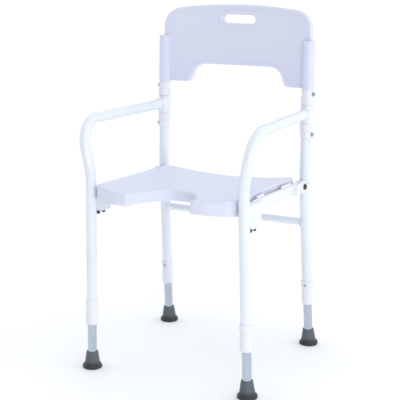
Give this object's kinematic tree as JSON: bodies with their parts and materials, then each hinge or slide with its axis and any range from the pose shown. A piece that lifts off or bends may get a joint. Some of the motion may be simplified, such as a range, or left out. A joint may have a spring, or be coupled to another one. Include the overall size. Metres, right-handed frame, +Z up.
{
  "type": "shower stool",
  "caption": "Shower seat with a cut-out contoured deck, curved backrest with hand slot, fixed arms, and four push-button adjustable legs on rubber feet.",
  "frame": {"origin": "on the floor, under the middle of the chair", "axes": "+Z up, the sitter faces -Y, +X is to the right as seen from the front"},
  "size_m": [0.4658, 0.455, 0.8648],
  "materials": {
    "powder_coat": "white gloss powder coat on aluminium tube",
    "white_fitting": "satin white moulded nylon",
    "seat_plastic": "fine-grained white blow-moulded polyethylene",
    "polished_tube": "bright anodised tube, drawn lengthwise",
    "grey_rubber": "dark slate-grey moulded rubber",
    "steel": "zinc-plated steel",
    "black_screw": "black oxide",
    "button_plastic": "smooth light-grey plastic",
    "bush_nylon": "natural nylon"
  },
  "bodies": {
    "frame": {"arm_tube_right": "powder_coat", "arm_tube_left": "powder_coat", "rear_upright_right": "powder_coat", "rear_upright_left": "powder_coat", "arm_sleeve_right": "white_fitting", "arm_sleeve_left": "white_fitting", "upper_collar_right": "white_fitting", "upper_collar_left": "white_fitting", "lower_collar_right": "white_fitting", "lower_collar_left": "white_fitting", "side_rail_right": "white_fitting", "side_rail_left": "white_fitting", "leg_tab_right": "powder_coat", "leg_tab_left": "powder_coat", "rail_clamp_right": "white_fitting", "rail_clamp_left": "white_fitting", "cross_tube": "powder_coat", "collar_bolts": "steel", "rivet_nuts": "steel", "rail_screws": "black_screw", "pivot_bolts": "black_screw", "backrest": "seat_plastic", "backrest_screws": "seat_plastic", "front_leg_collar_right": "white_fitting", "front_leg_collar_left": "white_fitting", "rear_leg_collar_right": "white_fitting", "rear_leg_collar_left": "white_fitting"},
    "seat": {"seat_panel": "seat_plastic", "seat_bushes": "bush_nylon", "seat_pads": "grey_rubber"},
    "front_leg_right": {"front_leg_tube_right": "polished_tube", "front_foot_right": "grey_rubber", "front_foot_washer_right": "steel"},
    "front_button_right": {"front_latch_button_right": "button_plastic"},
    "front_leg_left": {"front_leg_tube_left": "polished_tube", "front_foot_left": "grey_rubber", "front_foot_washer_left": "steel"},
    "front_button_left": {"front_latch_button_left": "button_plastic"},
    "rear_leg_right": {"rear_leg_tube_right": "polished_tube", "rear_foot_right": "grey_rubber", "rear_foot_washer_right": "steel"},
    "rear_button_right": {"rear_latch_button_right": "button_plastic"},
    "rear_leg_left": {"rear_leg_tube_left": "polished_tube", "rear_foot_left": "grey_rubber", "rear_foot_washer_left": "steel"},
    "rear_button_left": {"rear_latch_button_left": "button_plastic"}
  },
  "joints": [
    {"name": "seat_flip", "type": "hinge", "parent": "frame", "child": "seat", "pos_m": [0, 0.14185, 0.42961], "axis": [-1, 0, 0], "range_deg": [0, 84]},
    {"name": "front_leg_right_slide", "type": "slide", "parent": "frame", "child": "front_leg_right", "axis": [0.0239, 0.0099, -0.9997], "range_m": [0, 0.1]},
    {"name": "front_button_right_press", "type": "slide", "parent": "frame", "child": "front_button_right", "axis": [0.0002, -1, -0.0099], "range_m": [0, 0.002], "stiffness_N_per_m": 700},
    {"name": "front_leg_left_slide", "type": "slide", "parent": "frame", "child": "front_leg_left", "axis": [-0.0239, 0.0099, -0.9997], "range_m": [0, 0.1]},
    {"name": "front_button_left_press", "type": "slide", "parent": "frame", "child": "front_button_left", "axis": [-0.0002, -1, -0.0099], "range_m": [0, 0.002], "stiffness_N_per_m": 700},
    {"name": "rear_leg_right_slide", "type": "slide", "parent": "frame", "child": "rear_leg_right", "axis": [0.0159, 0.0835, -0.9964], "range_m": [0, 0.1]},
    {"name": "rear_button_right_press", "type": "slide", "parent": "frame", "child": "rear_button_right", "axis": [-0.0013, 0.9965, 0.0835], "range_m": [0, 0.002], "stiffness_N_per_m": 700},
    {"name": "rear_leg_left_slide", "type": "slide", "parent": "frame", "child": "rear_leg_left", "axis": [-0.0159, 0.0835, -0.9964], "range_m": [0, 0.1]},
    {"name": "rear_button_left_press", "type": "slide", "parent": "frame", "child": "rear_button_left", "axis": [0.0013, 0.9965, 0.0835], "range_m": [0, 0.002], "stiffness_N_per_m": 700}
  ]
}
